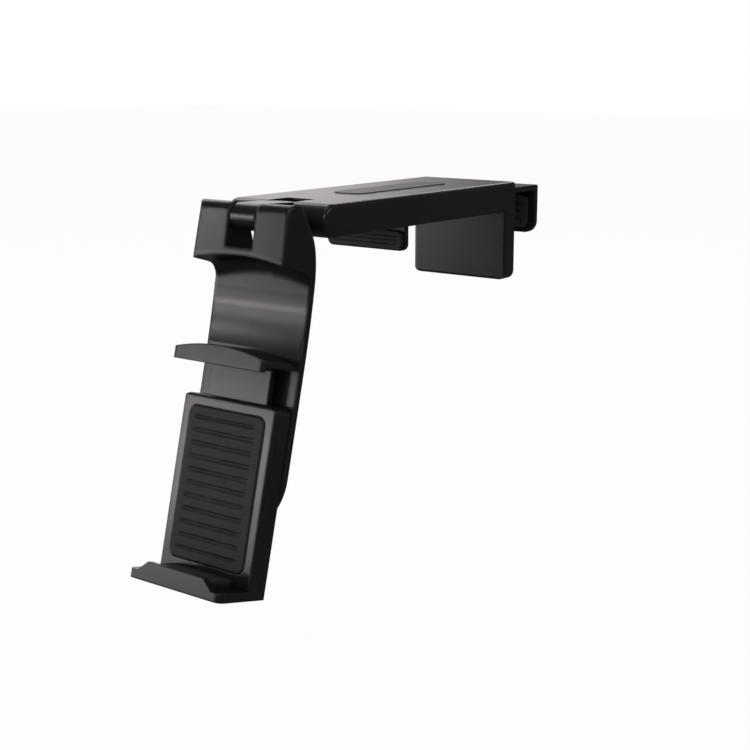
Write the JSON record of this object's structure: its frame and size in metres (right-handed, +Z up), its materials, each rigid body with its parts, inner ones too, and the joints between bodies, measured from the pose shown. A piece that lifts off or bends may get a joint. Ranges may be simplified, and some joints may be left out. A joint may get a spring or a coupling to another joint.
{
  "type": "airplane phone mount",
  "caption": "Folding phone holder that hooks over a tray table or seat back: clamp arm, short link, tilting bracket and swivelling sprung holder.",
  "frame": {"origin": "the inner corner of the clamp: on the centre line, where the stop pad's face meets the underside of the hook's tongue, so it is the top front edge of the panel that the mount hangs on", "axes": "+X to the right as seen by the person facing the phone, +Y forward through the panel and along the arm away from the phone, +Z up"},
  "size_m": [0.0454, 0.2006, 0.1319],
  "materials": {
    "shell": "satin moulded, near black",
    "strip": "fine matt",
    "rubber": "soft matt",
    "cap": "satin",
    "steel": "drawn wire and turned steel",
    "spring": "drawn spring wire"
  },
  "bodies": {
    "arm": {"arm_channel": "shell", "top_strip": "strip", "stop_pad": "rubber", "guide_rods": "steel", "slide_springs": "spring", "fold_pin": "steel", "fold_pin_cap": "cap"},
    "hook": {"hook_slide": "shell", "hook_pad": "rubber", "finger_grip": "shell", "grip_pad": "rubber", "grip_screws": "steel"},
    "link": {"link": "shell", "fold_washers": "steel", "tilt_washers": "steel"},
    "bracket": {"bracket": "shell", "tilt_pin": "steel", "tilt_pin_cap": "cap"},
    "holder": {"holder_back": "shell", "holder_front": "shell", "back_pad": "rubber", "lower_jaw_pad": "rubber", "holder_screws": "steel", "swivel_washer": "steel", "swivel_cap": "cap", "swivel_screw": "steel", "jaw_springs": "spring"},
    "jaw": {"upper_jaw": "shell", "upper_jaw_pad": "rubber"}
  },
  "joints": [
    {"name": "hook_slide", "type": "slide", "parent": "arm", "child": "hook", "axis": [0, 1, 0], "range_m": [-0.0187, 0.022], "stiffness_N_per_m": 150, "deforming": ["slide_springs"]},
    {"name": "link_fold", "type": "hinge", "parent": "arm", "child": "link", "pos_m": [0, -0.11755, -0.00085], "axis": [1, 0, 0], "range_deg": [-110, 45]},
    {"name": "head_tilt", "type": "hinge", "parent": "link", "child": "bracket", "pos_m": [0, -0.13482, 0.00081], "axis": [1, 0, 0], "range_deg": [-110, 15]},
    {"name": "holder_spin", "type": "hinge", "parent": "bracket", "child": "holder", "pos_m": [0, -0.14432, -0.08626], "axis": [0, 0.9686, -0.2487], "continuous": true},
    {"name": "jaw_slide", "type": "slide", "parent": "holder", "child": "jaw", "axis": [0, 0.2487, 0.9686], "range_m": [-0.012, 0.022], "stiffness_N_per_m": 200, "deforming": ["jaw_springs"]}
  ]
}
